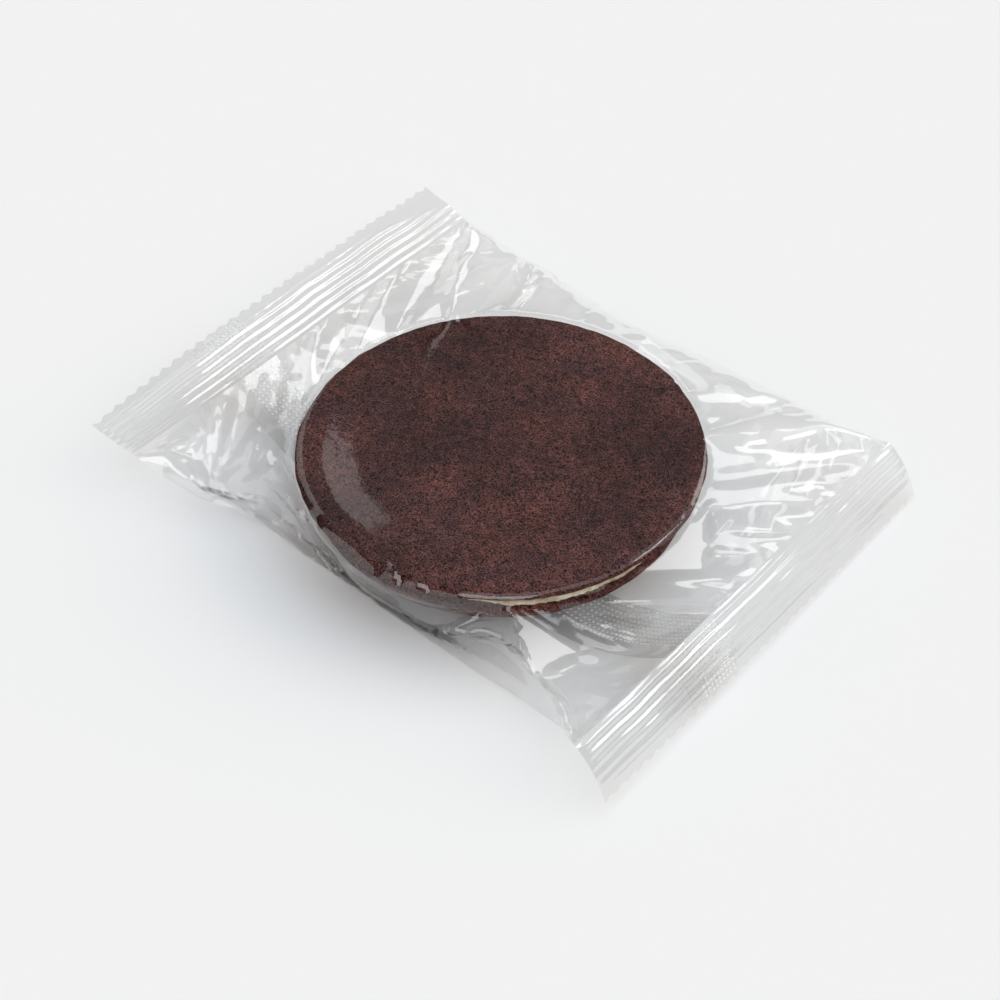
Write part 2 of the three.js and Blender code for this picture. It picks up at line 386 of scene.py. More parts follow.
def seal_line(seal, along):
    """Points where a seal meets the tube: along is 0 at the near side and 1 at the far side."""
    height = seal["near"] + (seal["far"] - seal["near"]) * along
    width = (along - 0.5) * TUBE_WIDTH
    return np.stack([np.full_like(along, seal["x"]), width, height], axis=-1)


def pinched_ring(seal, half):
    """The tube's end pressed flat: over the top to the far side, then back underneath."""
    line = seal_line(seal, np.linspace(0, 1, half + 1))
    return np.concatenate([line[:half], line[:0:-1]])


def wrapped_outline():
    """The cookie's outline and the film's clearance: straight stretches with outward normals."""
    outline = np.array([(0, 0.5), (27.5, 0.5), (30.8, 1.1), (33.6, 2.9), (35.7, 5.9), (36.6, 9.0),
                        (37.0, 12.5), (37.6, 14.9), (37.85, 15.7), (37.75, 16.4), (36.6, 16.95),
                        (34, 17.15), (26, 17.5), (14, 17.75), (0, 17.85)])
    starts, runs = outline[:-1], np.diff(outline, axis=0)
    normals = np.stack([runs[:, 1], -runs[:, 0]], axis=1)
    return starts, normals / np.hypot(*runs.T)[:, None]


OUTLINE_STARTS, OUTLINE_NORMALS = wrapped_outline()


def off_the_cookie(net, slack=0.0):
    """Moves points of the net that are inside the cookie out to its surface, and points at the
    upper biscuit's rim out to that much slack beyond it."""
    away = net[..., :2] - (COOKIE_X, COOKIE_Y)
    reach = np.hypot(away[..., 0], away[..., 1])
    height = net[..., 2] - tilt(away[..., 0], away[..., 1])
    close = np.nonzero((reach < WRAP_R + slack) & (height < WRAP_TOP))
    r, z = reach[close], height[close]
    depth = (r[:, None] - OUTLINE_STARTS[:, 0]) * OUTLINE_NORMALS[:, 0]
    depth += (z[:, None] - OUTLINE_STARTS[:, 1]) * OUTLINE_NORMALS[:, 1]
    nearest = depth.argmax(axis=1)
    slack = slack * np.clip((z - 12) / 2, 0, 1) * np.clip((r - 33) / 3, 0, 1)
    push = np.maximum(slack - depth[np.arange(len(nearest)), nearest], 0)
    radial = away[close] / np.maximum(r, 1e-6)[:, None]
    moved = net[close]
    moved[:, :2] += radial * (push * OUTLINE_NORMALS[nearest, 0])[:, None]
    moved[:, 2] += push * OUTLINE_NORMALS[nearest, 1]
    net[close] = moved


def layers_apart(net, half):
    """Keeps the upper film above the lower film outside the cookie."""
    upper = net[1:-1, 1:half]
    lower = net[1:-1, 2 * half - 1 : half : -1]
    reach = np.minimum(
        np.hypot(upper[..., 0] - COOKIE_X, upper[..., 1] - COOKIE_Y),
        np.hypot(lower[..., 0] - COOKIE_X, lower[..., 1] - COOKIE_Y),
    )
    short = (LAYER_GAP - (upper[..., 2] - lower[..., 2])) / 2
    short = np.where((short > 0) & (reach > COOKIE_R - 1), short, 0)
    upper[..., 2] += short
    lower[..., 2] -= short


def held_between_sides(net):
    """Keeps the film inside the two lines where the pack's sides are creased."""
    x, y, z = net[..., 0], net[..., 1], net[..., 2]
    held = (z < CREASED_BELOW) | (x < NEAR_RIM[0]) | (x > NEAR_RIM[1])
    y = np.where(held, np.maximum(y, np.interp(x, *zip(*NEAR_SIDE))), y)
    from_crease = np.abs(z - np.interp(x, *zip(*FAR_SIDE_HEIGHT)))
    net[..., 1] = np.minimum(y, np.interp(x, *zip(*FAR_SIDE)) - WEDGE * from_crease)


def crumpled(rows, around, seed):
    """Shares near 1 for the threads' lengths, because worked film has a little more or less."""
    rng = np.random.default_rng(seed)
    field = rng.normal(0, 1, (rows, around))
    for _ in range(2):
        field = (field + np.roll(field, 1, axis=1) + np.roll(field, -1, axis=1)) / 1.73
        field[1:-1] = (field[1:-1] + field[2:] + field[:-2]) / 1.73
    return 1 + CRUMPLE * field


def drawn(start, end, length, share):
    """How far each pair of points moves towards the other to be the right length apart."""
    gap = end - start
    now = np.sqrt((gap * gap).sum(axis=-1, keepdims=True))
    return gap * ((now - length) / np.maximum(now, 1e-9) * 0.5 * share)


def thread_lengths(rows, half):
    """Lengths of the threads that run lengthwise, round the tube and diagonally."""
    fullness = 1 - np.abs(2 * np.linspace(0, 1, rows + 1) - 1) ** 2
    width = TUBE_WIDTH + (TUBE_FULL_WIDTH - TUBE_WIDTH) * fullness
    run = TUBE_LENGTH / rows
    gird = (width / half)[:, None, None]
    slant = np.sqrt(run**2 + ((gird[1:] + gird[:-1]) / 2) ** 2)
    worked = crumpled(rows, 2 * half + 1, 5)[..., None]
    worked[:, -1] = worked[:, 0]
    return run * worked, gird, slant * worked[:, :-1]


def draw_lengthwise(net, runs):
    """Every other pair of rows, and then the pairs between them."""
    for odd in (0, 1):
        start, end = net[odd:-1:2], net[odd + 1 :: 2]
        start = start[: len(end)]
        pull = drawn(start, end, runs[odd::2][: len(end)], 1.0)
        start += pull
        end -= pull


def draw_round(net, gird):
    """The net's last column is its first one again, and follows it."""
    for odd in (0, 1):
        start, end = net[:, odd:-1:2], net[:, odd + 1 :: 2]
        start = start[:, : end.shape[1]]
        pull = drawn(start, end, gird, 1.0)
        start += pull
        end -= pull
        if odd:
            net[:, 0] = net[:, -1]
        else:
            net[:, -1] = net[:, 0]


def draw_diagonally(net, slant):
    """Both ways across each mesh of the net."""
    for odd in (0, 1):
        start, end = net[odd:-1:2], net[odd + 1 :: 2]
        start = start[: len(end)]
        length = slant[odd::2][: len(end)]
        pull = drawn(start[:, :-1], end[:, 1:], length, DIAGONAL_PULL)
        start[:, :-1] += pull
        end[:, 1:-1] -= pull[:, :-1]
        end[:, 0] -= pull[:, -1]
        net[:, -1] = net[:, 0]
        pull = drawn(start[:, 1:], end[:, :-1], length, DIAGONAL_PULL)
        end[:, :-1] -= pull
        start[:, 1:-1] += pull[:, :-1]
        start[:, 0] += pull[:, -1]
        net[:, -1] = net[:, 0]


def bow(net):
    """How far each point is off the line between its neighbours, shared out among the three."""
    off = np.zeros_like(net)
    lift = (net[2:] + net[:-2]) / 2 - net[1:-1]
    off[1:-1] += lift / 2
    off[2:] -= lift / 4
    off[:-2] -= lift / 4
    left = np.concatenate([net[:, -2:-1], net[:, :-1]], axis=1)
    right = np.concatenate([net[:, 1:], net[:, 1:2]], axis=1)
    lift = (left + right) / 2 - net
    off += lift / 2
    off[:, 1:-1] -= (lift[:, :-2] + lift[:, 2:]) / 4
    off[:, 0] -= (lift[:, -2] + lift[:, 1]) / 4
    off[:, -1] = off[:, 0]
    return off


def outward_push(net, run, half):
    """The way that air inside presses each point, longer where the film is drawn out."""
    lengthwise, round_about = np.zeros_like(net), np.zeros_like(net)
    lengthwise[1:-1] = net[2:] - net[:-2]
    round_about[:, 1:-1] = net[:, 2:] - net[:, :-2]
    round_about[:, 0] = round_about[:, -1] = net[:, 1] - net[:, -2]
    return np.cross(lengthwise, round_about) / (4 * run * TUBE_WIDTH / half)


def flattened_out(net, spread):
    """Spreads the pack's sides over the table, the near side only where it is low."""
    far = np.clip((net[..., 1] - 32) / 8, 0, 1)
    near = np.clip((-30 - net[..., 1]) / 6, 0, 1) * (net[..., 2] < CREASED_BELOW)
    net[..., 1] += spread * (far - near)


def settle(net, half, steps, rounds, air, stiffness, spread):
    """Lets the film swell and sag step by step, and in each step its threads regain their lengths
    in rounds."""
    rows = net.shape[0] - 1
    run = TUBE_LENGTH / rows
    runs, gird, slant = thread_lengths(rows, half)
    raised, drooping = pinched_ring(RAISED_SEAL, half), pinched_ring(DROOPING_SEAL, half)
    net = np.concatenate([net, net[:, :1]], axis=1)
    raised = np.vstack([raised, raised[:1]])
    drooping = np.vstack([drooping, drooping[:1]])
    before = net.copy()
    for _ in range(steps):
        speed = (net - before) * SPEED_KEPT
        pace = np.sqrt((speed * speed).sum(axis=-1, keepdims=True))
        speed *= np.minimum(1, TOP_SPEED * run / np.maximum(pace, 1e-9))
        before = net.copy()
        net = net + speed + air * outward_push(net, run, half)
        net[..., 2] -= SAG
        flattened_out(net, spread)
        net[0], net[-1] = raised, drooping
        for turn in range(rounds):
            draw_lengthwise(net, runs)
            net[0], net[-1] = raised, drooping
            draw_round(net, gird)
            draw_diagonally(net, slant)
            net += stiffness * bow(net)
            net[0], net[-1] = raised, drooping
            if turn % 2 == 0 or turn == rounds - 1:
                layers_apart(net, half)
                off_the_cookie(net)
                held_between_sides(net)
                net[..., 2] = np.clip(net[..., 2], LOWEST, HIGHEST)
                net[0], net[-1] = raised, drooping
    return net[:, :-1]


def finer(net):
    """The same net with twice as many threads each way."""
    rows = np.empty((2 * net.shape[0] - 1, *net.shape[1:]))
    rows[::2] = net
    rows[1::2] = (net[:-1] + net[1:]) / 2
    both = np.empty((rows.shape[0], 2 * rows.shape[1], 3))
    both[:, ::2] = rows
    both[:, 1::2] = (rows + np.roll(rows, -1, axis=1)) / 2
    return both


def loose_tube(rows, half):
    """The tube before it settles: straight from seal to seal, lifted clear over the cookie."""
    raised, drooping = pinched_ring(RAISED_SEAL, half), pinched_ring(DROOPING_SEAL, half)
    share = np.linspace(0, 1, rows + 1)[:, None, None]
    net = raised * (1 - share) + drooping * share
    reach = np.hypot(net[..., 0] - COOKIE_X, net[..., 1] - COOKIE_Y)
    over = np.clip((50 - reach) / 14, 0, 1)  # 1 over the cookie, falling to 0 beyond its rim
    over = over * over * (3 - 2 * over)
    side = np.arange(2 * half)
    top, under = (side > 0) & (side < half), side > half
    lifted = net[..., 2] * (1 - over) + WRAP_TOP * over
    net[:, top, 2] = np.maximum(net[..., 2] + LOOSE_GAP, lifted)[:, top]
    lowered = net[..., 2] * (1 - over) + LOOSE_LOWEST * over - LOOSE_GAP * (1 - over)
    net[:, under, 2] = lowered[:, under]
    net[0], net[-1] = raised, drooping
    rng = np.random.default_rng(3)
    net[1:-1] += rng.normal(0, 0.05, net[1:-1].shape)
    return net


def drawn_taut(net, half, rounds):
    """Draws the upper film taut where it lies on the cookie's face, clear of its rim."""
    for _ in range(rounds):
        middle = net[1:-1, 1:half]
        around = net[2:, 1:half] + net[:-2, 1:half]
        around = around + net[1:-1, 2 : half + 1] + net[1:-1, : half - 1]
        reach = np.hypot(middle[..., 0] - COOKIE_X, middle[..., 1] - COOKIE_Y)
        on_face = np.clip((COOKIE_R - 2 - reach) / 6, 0, 1)[..., None] * (middle[..., 2:] > 14)
        net[1:-1, 1:half] += (around / 4 - middle) * on_face * TAUTNESS


def folded_flat(net, half, corners):
    """Draws the upper film flat inside a three-cornered fold, its corners given anticlockwise."""
    upper = net[1:-1, 1:half]
    corners = np.array(corners)
    normal = np.cross(corners[1] - corners[0], corners[2] - corners[0])
    plane = corners[0][2] - (upper - corners[0])[..., :2] @ (normal[:2] / normal[2])
    inside = np.full(plane.shape, np.inf)
    for start, end in zip(corners, np.roll(corners, -1, axis=0)):
        side, gap = end - start, upper - start
        across = side[0] * gap[..., 1] - side[1] * gap[..., 0]
        inside = np.minimum(inside, across / np.hypot(side[0], side[1]))
    share = np.clip(inside / FOLD_SOFTNESS + 0.5, 0, 1)
    upper[..., 2] += share * (plane - upper[..., 2])


HALF, ROWS = 31, 38  # the coarse net's threads, from crease to crease and from seal to seal
TAUTNESS = 0.8
FOLD_SOFTNESS = 1.2  # how wide the folds' borders are
NEAR_FOLD = [(29.2, -34.2, 16.9), (40.5, -40.5, 11.0), (43.5, -28.5, 9.3)]
RIGHT_FOLD = [(42.5, 7.0, 17.3), (40.8, -18.0, 17.3), (49.8, -4.0, 12.8)]

net = loose_tube(ROWS, HALF)
net = settle(net, HALF, steps=120, rounds=30, air=0.004, stiffness=0.05, spread=0.15)
net = settle(finer(net), 2 * HALF, steps=80, rounds=30, air=0.002, stiffness=0.04, spread=0.12)
net = settle(finer(net), 4 * HALF, steps=16, rounds=24, air=0.0, stiffness=0.03, spread=0.04)
half = net.shape[1] // 2
drawn_taut(net, half, rounds=30)
folded_flat(net, half, NEAR_FOLD)
folded_flat(net, half, RIGHT_FOLD)
off_the_cookie(net, RIM_SLACK)
net[..., 2] = np.clip(net[..., 2], LOWEST, HIGHEST)


def tube_faces(rows, around):
    """Faces of the tube. At each end the lower film's points are the upper film's."""

    def number(row, column):
        column %= around
        if row in (0, rows) and column > around // 2:
            column = around - column
        return row * around + column

    faces = []
    for row in range(rows):
        for column in range(around):
            corners = [number(row, column), number(row + 1, column),
                       number(row + 1, column + 1), number(row, column + 1)]
            distinct = list(dict.fromkeys(corners))
            if len(distinct) > 2:
                faces.append(distinct)
    return faces


CRUMPLE_SCALE = 150.0
SLANT_POWER, SLANT_SHARE = 4.5, 0.9  # how suddenly and how much more it mirrors at a slant
CREASE_ANGLE = math.radians(50)  # folds sharper than this stay sharp


def film_crumple():
    """Fine creases that all the pack's film has from being handled, as heights from 0 to 1."""
    group = bpy.data.node_groups.new("film_crumple", "ShaderNodeTree")
    group.interface.new_socket("Place", in_out="INPUT", socket_type="NodeSocketVector")
    group.interface.new_socket("Fineness", in_out="INPUT", socket_type="NodeSocketFloat")
    group.interface.new_socket("Height", in_out="OUTPUT", socket_type="NodeSocketFloat")
    inlet = group.nodes.new("NodeGroupInput").outputs
    creases = pattern(group, "ShaderNodeTexNoise", inlet["Place"], inlet["Fineness"], 3.0)
    joined(group, creases.outputs["Fac"], group.nodes.new("NodeGroupOutput").inputs["Height"])
    return group


def film_material(name, clear=0.985, thrown_back=0.07, milk=None):
    """Thin clear film: it lets nearly all light through, throws a little back when it is seen
    straight on and mirrors more at a slant. Crushed film is milky, by the share that milk gives."""
    material, tree, gloss = new_material(name)
    gloss["Base Color"].default_value = (1, 1, 1, 1)
    gloss["Metallic"].default_value = 0.0 if milk else 1.0
    gloss["Roughness"].default_value = 0.2 if milk else 0.07
    crumple = tree.nodes.new("ShaderNodeGroup")
    crumple.node_tree = crumple_group
    crumple.inputs["Fineness"].default_value = CRUMPLE_SCALE
    joined(tree, own_place(tree), crumple.inputs["Place"])
    joined(tree, relief(tree, crumple.outputs["Height"], 1.0, 0.07), gloss["Normal"])

    slant = tree.nodes.new("ShaderNodeLayerWeight")
    slant.inputs["Blend"].default_value = 0.5
    mirrored = maths(tree, "POWER", slant.outputs["Facing"], SLANT_POWER)
    share = maths(tree, "MULTIPLY_ADD", mirrored, SLANT_SHARE, thrown_back)
    if milk:
        share = maths(tree, "ADD", share, milk(tree))
    through = tree.nodes.new("ShaderNodeBsdfTransparent")
    through.inputs["Color"].default_value = (clear, clear, clear, 1)
    mix = tree.nodes.new("ShaderNodeMixShader")
    joined(tree, share, mix.inputs["Fac"])
    joined(tree, through.outputs[0], mix.inputs[1])
    joined(tree, tree.nodes["Principled BSDF"].outputs[0], mix.inputs[2])
    joined(tree, mix.outputs[0], tree.nodes["Material Output"].inputs["Surface"])
    return material


crumple_group = film_crumple()
film_tube = piece_from("film_tube", net.reshape(-1, 3), tube_faces(net.shape[0] - 1, net.shape[1]))
film_tube.data.materials.append(film_material("clear_film"))
film_tube.data.set_sharp_from_angle(angle=CREASE_ANGLE)
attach(film_tube, "root")
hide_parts("sealed_pack")


# ---- End seals ----------------------------------------------------------------------------------
# At each end the two layers of film are pressed together by a hot ribbed jaw and cut with a zigzag
# knife. The raised seal curls up at its far corner, and the drooping one bends down to the table.

SEAL_WIDTH = 11.8
SEAL_WALL = 0.09
SEAL_ROWS, SEAL_COLUMNS = 84, 232
RIB_ZONE = (0.5, 9.3)  # outwards from the tube
RIB_COUNT = 5
RIB_HEIGHT = 0.24
RIB_FADE = 0.8
TOOTH_PITCH = 3.0
TOOTH_DEPTH = 0.8
# Lean is the seal's slope in degrees along its length, curl is how much that changes on the way
# out, and margin is how much more its plain edge is bent at the far corner. Missed is how much of
# the rib zone the jaw left plain at that corner.
RAISED_SEAL.update(side=-1, lean=[(0, 2), (0.25, 16), (0.5, 20), (1, 24)], curl=12,
                   margin=-14, missed=4.5)
DROOPING_SEAL.update(side=1, lean=[(0, -56), (0.5, -54), (1, -54)], curl=-34, margin=0, missed=0)


def plain_from(seal, along):
    """How far out the ribs reach: less far at a corner that the jaw missed."""
    return RIB_ZONE[1] - seal["missed"] * np.clip((along - 0.74) / 0.26, 0, 1) ** 1.5


def ribbed_share(seal, points, out):
    """1 where the jaw's ribs have pressed the film and 0 where it is left plain."""
    along = points[..., 1] / TUBE_WIDTH + 0.5
    inner = np.clip(out / RIB_ZONE[0], 0, 1)
    outer = np.clip((plain_from(seal, along) + RIB_FADE - out) / RIB_FADE, 0, 1)
    ends = np.clip(np.minimum(along, 1 - along) / 0.02, 0, 1)
    return inner * outer * ends


def seal_sheet(seal, rows, columns):
    """The seal's middle surface as a grid, with the way outwards and the distance from the tube."""
    along = np.linspace(0, 1, columns + 1)[None, :]
    bulge = 1 + 0.02 * (1 - (2 * along - 1) ** 4)
    out = np.linspace(0, 1, rows + 1)[:, None] * SEAL_WIDTH * bulge
    lean = np.radians(np.interp(along, *zip(*seal["lean"])))
    angle = lean + np.radians(seal["curl"]) * (out / SEAL_WIDTH - 0.5)
    angle = angle * (1 - 0.7 * np.exp(-((out / 0.7) ** 2)))
    margin = np.clip((out - plain_from(seal, along)) / RIB_FADE, 0, 1)
    angle = angle + np.radians(seal["margin"]) * margin * along**0.7
    middle = np.cumsum(angle, axis=0) / np.arange(1, rows + 2)[:, None]
    level = np.zeros_like(out)
    reach = np.stack([seal["side"] * np.cos(middle), level, np.sin(middle)], axis=-1)
    points = seal_line(seal, along[0])[None] + reach * out[..., None]
    outward = np.stack([seal["side"] * np.cos(angle), level, np.sin(angle)], axis=-1)
    return points, outward, out


def strip_faces(rows, columns, turned_over):
    """Faces of a strip's grid of points."""
    faces = []
    for row in range(rows):
        for column in range(columns):
            a = row * (columns + 1) + column
            corners = (a, a + columns + 1, a + columns + 2, a + 1)
            faces.append(corners[::-1] if turned_over else corners)
    return faces


def keep_on_points(piece, stored):
    """Stores lengths and directions at the points, for the pressing tools and the film to read."""
    for label, values in stored.items():
        kind, field = ("FLOAT_VECTOR", "vector") if values.ndim == 3 else ("FLOAT", "value")
        layer = piece.data.attributes.new(label, kind, "POINT")
        layer.data.foreach_set(field, values.astype(float).ravel())


class PressingTool:
    """A geometry tree that reads named sizes and moves a strip's points."""

    def __init__(self, name, sizes):
        self.tree = bpy.data.node_groups.new(name, "GeometryNodeTree")
        self.tree.is_modifier = True
        face = self.tree.interface
        face.new_socket("Geometry", in_out="INPUT", socket_type="NodeSocketGeometry")
        for label in sizes:
            face.new_socket(label, in_out="INPUT", socket_type="NodeSocketFloat")
        face.new_socket("Film", in_out="INPUT", socket_type="NodeSocketMaterial")
        face.new_socket("Geometry", in_out="OUTPUT", socket_type="NodeSocketGeometry")
        self.inlet = self.tree.nodes.new("NodeGroupInput")

    def read(self, value):
        """A named size's socket, or the value itself."""
        return self.inlet.outputs[value] if isinstance(value, str) else value

    def maths(self, operation, *values):
        return maths(self.tree, operation, *map(self.read, values))

    def product(self, first, *others):
        """Everything given, multiplied together."""
        for other in others:
            first = self.maths("MULTIPLY", first, other)
        return first

    def rise(self, value, low, high):
        """0 below low and 1 above high, smooth between them."""
        node = self.tree.nodes.new("ShaderNodeMapRange")
        node.interpolation_type = "SMOOTHSTEP"
        for amount, label in ((value, "Value"), (low, "From Min"), (high, "From Max")):
            joined(self.tree, self.read(amount), node.inputs[label])
        return node.outputs[0]

    def kept(self, label, kind="FLOAT"):
        """What keep_on_points stored under that label."""
        node = self.tree.nodes.new("GeometryNodeInputNamedAttribute")
        node.data_type = kind
        node.inputs["Name"].default_value = label
        return node.outputs["Attribute"]

    def unevenness(self, size, seed):
        """Smooth random values from 0 to 1 over the strip."""
        node = self.tree.nodes.new("ShaderNodeTexNoise")
        node.noise_dimensions = "4D"
        node.inputs["Scale"].default_value = 1 / size
        node.inputs["W"].default_value = seed
        where = self.tree.nodes.new("GeometryNodeInputPosition")
        joined(self.tree, where.outputs[0], node.inputs["Vector"])
        return node.outputs["Fac"]

    def moved(self, geometry, label, amount):
        """The strip with each point moved by an amount in its own stored direction."""
        scaled = self.tree.nodes.new("ShaderNodeVectorMath")
        scaled.operation = "SCALE"
        joined(self.tree, self.kept(label, "FLOAT_VECTOR"), scaled.inputs[0])
        joined(self.tree, amount, scaled.inputs["Scale"])
        place = self.tree.nodes.new("GeometryNodeSetPosition")
        joined(self.tree, self.read(geometry), place.inputs["Geometry"])
        joined(self.tree, scaled.outputs[0], place.inputs["Offset"])
        return place.outputs[0]

    def finish(self, geometry):
        """Ends the tree with a plain strip of the film."""
        realised = self.tree.nodes.new("GeometryNodeRealizeInstances")
        coated = self.tree.nodes.new("GeometryNodeSetMaterial")
        outlet = self.tree.nodes.new("NodeGroupOutput")
        joined(self.tree, geometry, realised.inputs[0])
        joined(self.tree, realised.outputs[0], coated.inputs["Geometry"])
        joined(self.tree, self.read("Film"), coated.inputs["Material"])
        joined(self.tree, coated.outputs[0], outlet.inputs[0])
        return self.tree


def rib_press():
    """Presses ribs along a seal and cuts its outer edge in a zigzag."""
    tool = PressingTool("rib_press", ["First rib", "Rib pitch", "Rib height",
                                      "Tooth pitch", "Tooth depth", "Width"])
    out, along = tool.kept("out"), tool.kept("along")
    waver = tool.maths("MULTIPLY_ADD", tool.unevenness(14 * MM, 2.0), 1.2 * MM, -0.6 * MM)
    from_first = tool.maths("SUBTRACT", tool.maths("ADD", out, waver), "First rib")
    turns = tool.maths("MULTIPLY", tool.maths("DIVIDE", from_first, "Rib pitch"), 2 * math.pi)
    wave = tool.maths("MULTIPLY_ADD", tool.maths("COSINE", turns), -0.5, 0.5)
    strength = tool.maths("MULTIPLY_ADD", tool.unevenness(12 * MM, 5.0), 1.6, 0.2)
    height = tool.product(wave, tool.kept("ribbed"), "Rib height", strength)
    ribbed = tool.moved("Geometry", "upward", height)

    tooth = tool.maths("PINGPONG", along, tool.maths("MULTIPLY", "Tooth pitch", 0.5))
    tooth = tool.maths("DIVIDE", tooth, tool.maths("MULTIPLY", "Tooth pitch", -0.5))
    outer = tool.rise(out, tool.maths("SUBTRACT", "Width", 3 * MM), "Width")
    ragged = tool.maths("MULTIPLY_ADD", tool.unevenness(4 * MM, 9.0), 1.6, 0.2)
    cut = tool.product(tooth, "Tooth depth", outer, ragged)
    return tool.finish(tool.moved(ribbed, "outward", cut))


def pressed(piece, tree, sizes, film, thickness, spent):
    """Runs a pressing tool over a strip, gives it its thickness, and keeps the result as a mesh.
    The stored lengths and directions that are spent by then are taken off it."""
    tool = piece.modifiers.new("press", "NODES")
    tool.node_group = tree
    settings = {label: size * MM for label, size in sizes.items()}
    settings["Film"] = film
    for item in tree.interface.items_tree:
        if item.in_out == "INPUT" and item.name in settings:
            tool[item.identifier] = settings[item.name]
    wall = piece.modifiers.new("wall", "SOLIDIFY")
    wall.thickness = thickness * MM
    wall.offset = 0
    shaped = piece.evaluated_get(bpy.context.evaluated_depsgraph_get())
    mesh = bpy.data.meshes.new_from_object(shaped)
    piece.modifiers.clear()
    piece.data = mesh
    mesh.name = piece.name
    mesh.set_sharp_from_angle(angle=CREASE_ANGLE)
    for label in spent:
        mesh.attributes.remove(mesh.attributes[label])


press = rib_press()
press_sizes = {"First rib": RIB_ZONE[0], "Rib pitch": (RIB_ZONE[1] - RIB_ZONE[0]) / RIB_COUNT,
               "Rib height": RIB_HEIGHT, "Tooth pitch": TOOTH_PITCH, "Tooth depth": TOOTH_DEPTH,
               "Width": SEAL_WIDTH}
sealed_film = film_material("sealed_film", clear=0.965)
for name, seal in (("raised_end_seal", RAISED_SEAL), ("drooping_end_seal", DROOPING_SEAL)):
    points, outward, out = seal_sheet(seal, SEAL_ROWS, SEAL_COLUMNS)
    faces = strip_faces(SEAL_ROWS, SEAL_COLUMNS, seal["side"] < 0)
    end_seal = piece_from(name, points.reshape(-1, 3), faces)
    stored = {
        "outward": outward,
        "upward": np.cross(outward, (0, 1, 0)) * seal["side"],
        "out": out * MM,
        "along": (points[..., 1] + TUBE_WIDTH / 2) * MM,
        "ribbed": ribbed_share(seal, points, out),
    }
    keep_on_points(end_seal, stored)
    pressed(end_seal, press, press_sizes, sealed_film, SEAL_WALL, spent=stored)
    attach(end_seal, "root")
    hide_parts("sealed_pack")


# ---- Fin seal -----------------------------------------------------------------------------------
# The tube's own joint: the sheet's two edges are pressed together between knurled wheels, and the
# fin that they make is folded flat under the pack. It runs on through both end seals.

FIN_ROOT, FIN_EDGE = -9.6, -22.2  # across the pack
FIN_ROWS, FIN_SEAL_ROWS, FIN_COLUMNS = 430, 44, 62
SEAL_COLUMNS_READ = 400  # of the end seals' surface, to lay the fin on
FIN_WALL = 0.06
FIN_GAP = 0.12  # below the film it is folded against
FIN_LOWEST = 0.07
KNURLED = (0.5, 9.4)  # from the root
KNURL_PITCH = 1.0
KNURL_HEIGHT = 0.16
KNURL_FADE = 0.3
KNURL_MILK = 0.45
CRUSHED_ROWS = (slice(10, 45), slice(-45, -10))  # where the end seals' jaw has flattened the pips
CRUSHED_SHARE = 0.3


def knurling_wheel():
    """Presses rows of small round pips into a strip."""
    tool = PressingTool("knurling_wheel", ["Pitch", "Height"])
    waves = []
    for label in ("along", "out"):
        turns = tool.maths("DIVIDE", tool.kept(label), "Pitch")
        waves.append(tool.maths("COSINE", tool.product(turns, 2 * math.pi)))
    pips = tool.maths("MAXIMUM", tool.product(tool.maths("ADD", *waves), 0.5), 0.0)
    height = tool.product(pips, "Height", tool.kept("knurled"))
    return tool.finish(tool.moved("Geometry", "upward", height))


def milky_pips(tree):
    """Milky dots where the wheel's pips have crushed the fin."""
    stored, waves = {}, []
    for label in ("along", "out", "knurled"):
        node = tree.nodes.new("ShaderNodeAttribute")
        node.attribute_name = label
        stored[label] = node.outputs["Fac"]
    for label in ("along", "out"):
        turns = maths(tree, "MULTIPLY", stored[label], 2 * math.pi / (KNURL_PITCH * MM))
        waves.append(maths(tree, "COSINE", turns))
    peaks = maths(tree, "MULTIPLY", maths(tree, "ADD", *waves), 0.5)
    milk = maths(tree, "MULTIPLY", maths(tree, "MAXIMUM", peaks, 0.0), KNURL_MILK)
    return maths(tree, "MULTIPLY", milk, stored["knurled"])


def drawn_through(rows, places):
    """Points on each row at places counted in its own points, between them too."""
    before = np.minimum(places.astype(int), rows.shape[1] - 2)
    part = (places - before)[None, :, None]
    return rows[:, before] * (1 - part) + rows[:, before + 1] * part


def under_the_tube():
    """The fin's stretch along the tube, on the lower film from the fin's root to its edge."""
    lower = net[:, : half - 1 : -1]
    placed = (np.arange(lower.shape[1]) + 1) * TUBE_WIDTH / half - TUBE_WIDTH / 2
    rows = drawn_through(lower, np.interp(across, placed, np.arange(len(placed))))
    columns = rows.transpose(1, 0, 2)
    return drawn_through(columns, np.linspace(0, len(rows) - 1, FIN_ROWS)).transpose(1, 0, 2)


def under_the_seal(seal):
    """The fin's stretch inside an end seal, from the tube outwards."""
    points = seal_sheet(seal, FIN_SEAL_ROWS, SEAL_COLUMNS_READ)[0]
    return drawn_through(points[1:-4], (across / TUBE_WIDTH + 0.5) * SEAL_COLUMNS_READ)


across = np.linspace(FIN_ROOT, FIN_EDGE, FIN_COLUMNS + 1)
strip = np.concatenate([under_the_seal(RAISED_SEAL)[::-1], under_the_tube(),
                        under_the_seal(DROOPING_SEAL)])
downward = np.cross(np.gradient(strip, axis=0), np.gradient(strip, axis=1))
downward /= np.linalg.norm(downward, axis=-1, keepdims=True)
strip = strip + FIN_GAP * downward
strip[..., 2] = np.maximum(strip[..., 2], FIN_LOWEST)
along = np.concatenate([[0], np.cumsum(np.linalg.norm(np.diff(strip[:, 0], axis=0), axis=-1))])
out = np.linspace(0, FIN_ROOT - FIN_EDGE, FIN_COLUMNS + 1)
knurled = np.clip((out - KNURLED[0]) / KNURL_FADE, 0, 1)
knurled = knurled * np.clip((KNURLED[1] - out) / KNURL_FADE, 0, 1)
knurled = np.repeat(knurled[None], len(strip), axis=0)
for crushed in CRUSHED_ROWS:
    knurled[crushed] *= CRUSHED_SHARE
